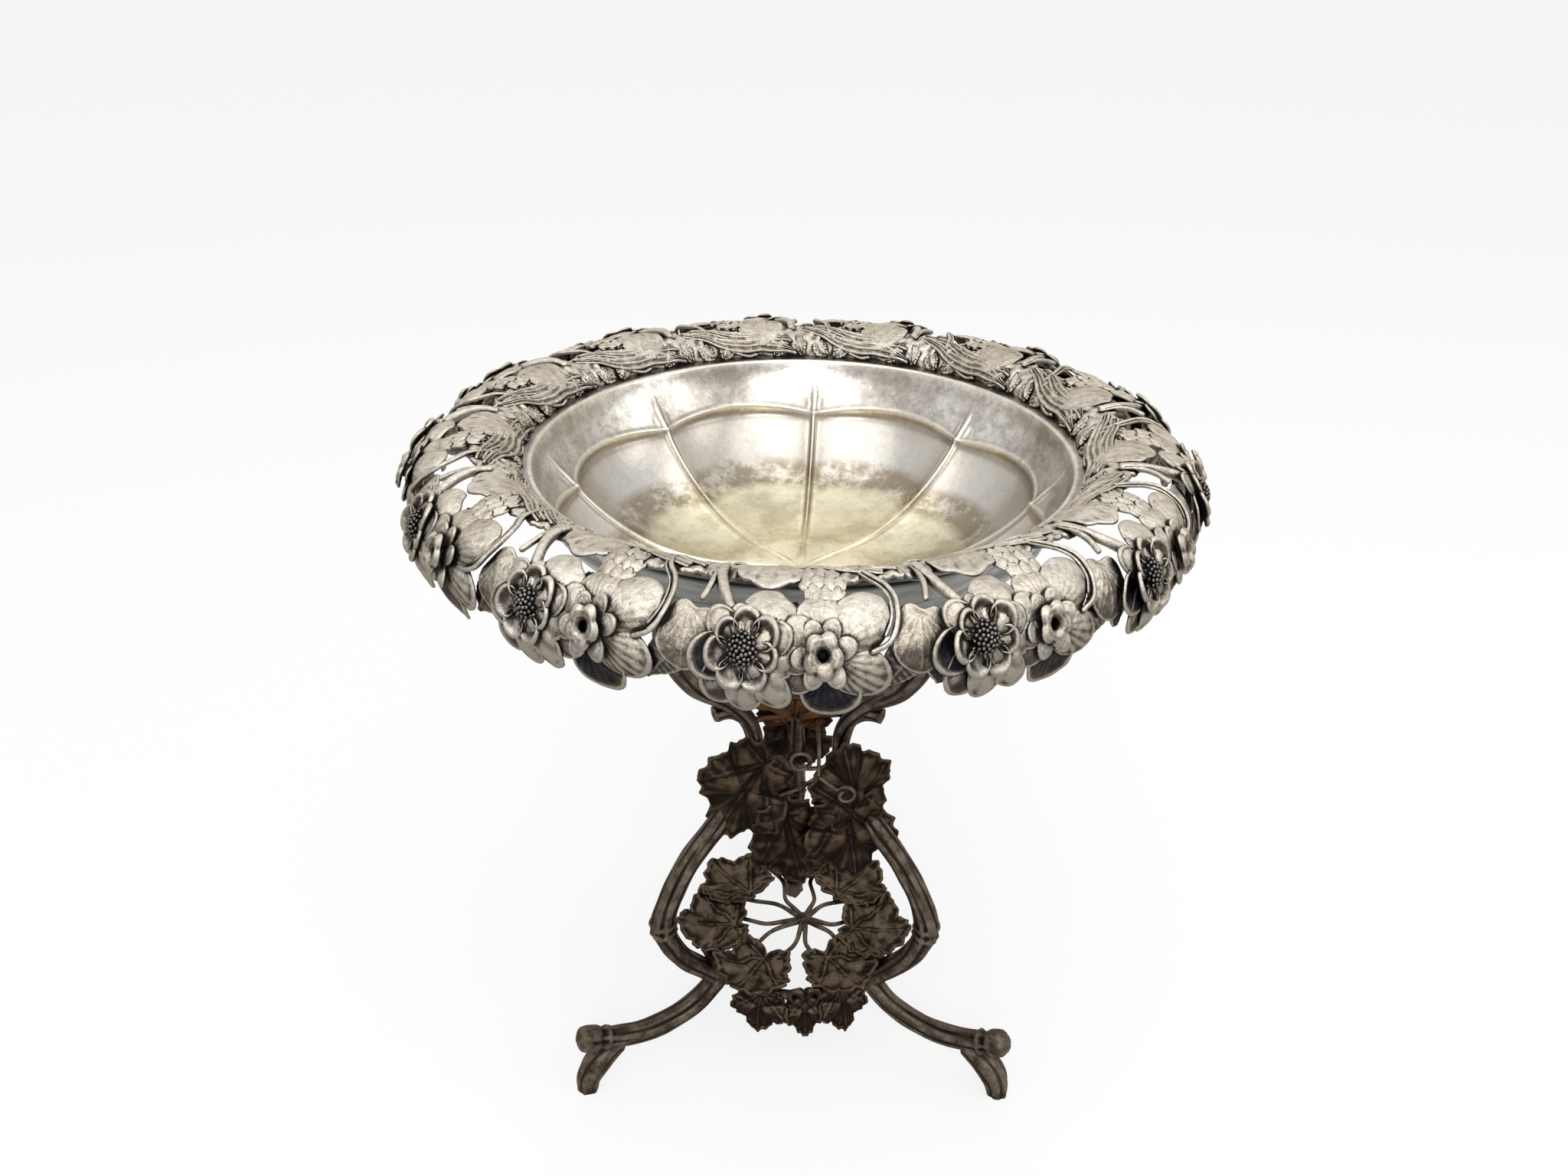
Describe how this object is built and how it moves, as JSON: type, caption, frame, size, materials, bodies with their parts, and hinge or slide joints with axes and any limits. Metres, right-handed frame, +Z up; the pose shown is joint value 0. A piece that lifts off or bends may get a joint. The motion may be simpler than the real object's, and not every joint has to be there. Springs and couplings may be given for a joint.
{
  "type": "comport",
  "caption": "Footed centrepiece bowl with a lobed inside and a pierced flower and leaf border, on a branch stand with vine leaves.",
  "frame": {"origin": "on the table under the bowl's axis", "axes": "+Z up along the bowl's axis, -Y towards the front that the picture shows"},
  "size_m": [0.3062, 0.3076, 0.3129],
  "materials": {
    "bowl_silver": "satin silver inside with a pale gilt wash low in the lobes",
    "border_silver": "cast silver with dark oxidised recesses",
    "branch_metal": "dark oxidised silver over white metal, rubbed bright on the ridges",
    "leaf_metal": "dark brown oxidised cast metal",
    "fixing_metal": "plain turned metal"
  },
  "bodies": {
    "root": {"beaded_flower_01": "border_silver", "beaded_flower_02": "border_silver", "beaded_flower_03": "border_silver", "beaded_flower_04": "border_silver", "beaded_flower_05": "border_silver", "beaded_flower_06": "border_silver", "beaded_flower_07": "border_silver", "beaded_flower_08": "border_silver", "beaded_flower_09": "border_silver", "beaded_flower_10": "border_silver", "beaded_flower_11": "border_silver", "beaded_flower_12": "border_silver", "beaded_flower_13": "border_silver", "border_casting_01": "border_silver", "border_casting_02": "border_silver", "border_casting_03": "border_silver", "border_casting_04": "border_silver", "border_casting_05": "border_silver", "border_casting_06": "border_silver", "border_casting_07": "border_silver", "border_casting_08": "border_silver", "border_casting_09": "border_silver", "border_casting_10": "border_silver", "border_casting_11": "border_silver", "border_casting_12": "border_silver", "border_casting_13": "border_silver", "bowl": "bowl_silver", "bowl_stud": "fixing_metal", "foot_branch_back": "branch_metal", "foot_branch_left": "branch_metal", "foot_branch_right": "branch_metal", "leg_branch_back": "branch_metal", "leg_branch_left": "branch_metal", "leg_branch_right": "branch_metal", "neck_leaf_back": "leaf_metal", "neck_leaf_hanging": "leaf_metal", "neck_leaf_left": "leaf_metal", "neck_leaf_right": "leaf_metal", "neck_leaf_right_upper": "leaf_metal", "neck_leaf_top": "leaf_metal", "nut": "fixing_metal", "support_plate": "fixing_metal", "tendril_spray": "branch_metal", "twig_star": "branch_metal", "washer": "fixing_metal", "wreath_hoop": "branch_metal", "wreath_leaf_back": "leaf_metal", "wreath_leaf_back_left": "leaf_metal", "wreath_leaf_back_right": "leaf_metal", "wreath_leaf_centre": "leaf_metal", "wreath_leaf_front_left": "leaf_metal", "wreath_leaf_front_right": "leaf_metal", "wreath_leaf_hanging_left": "leaf_metal", "wreath_leaf_hanging_right": "leaf_metal", "wreath_leaf_left": "leaf_metal", "wreath_leaf_right": "leaf_metal"}
  },
  "joints": []
}
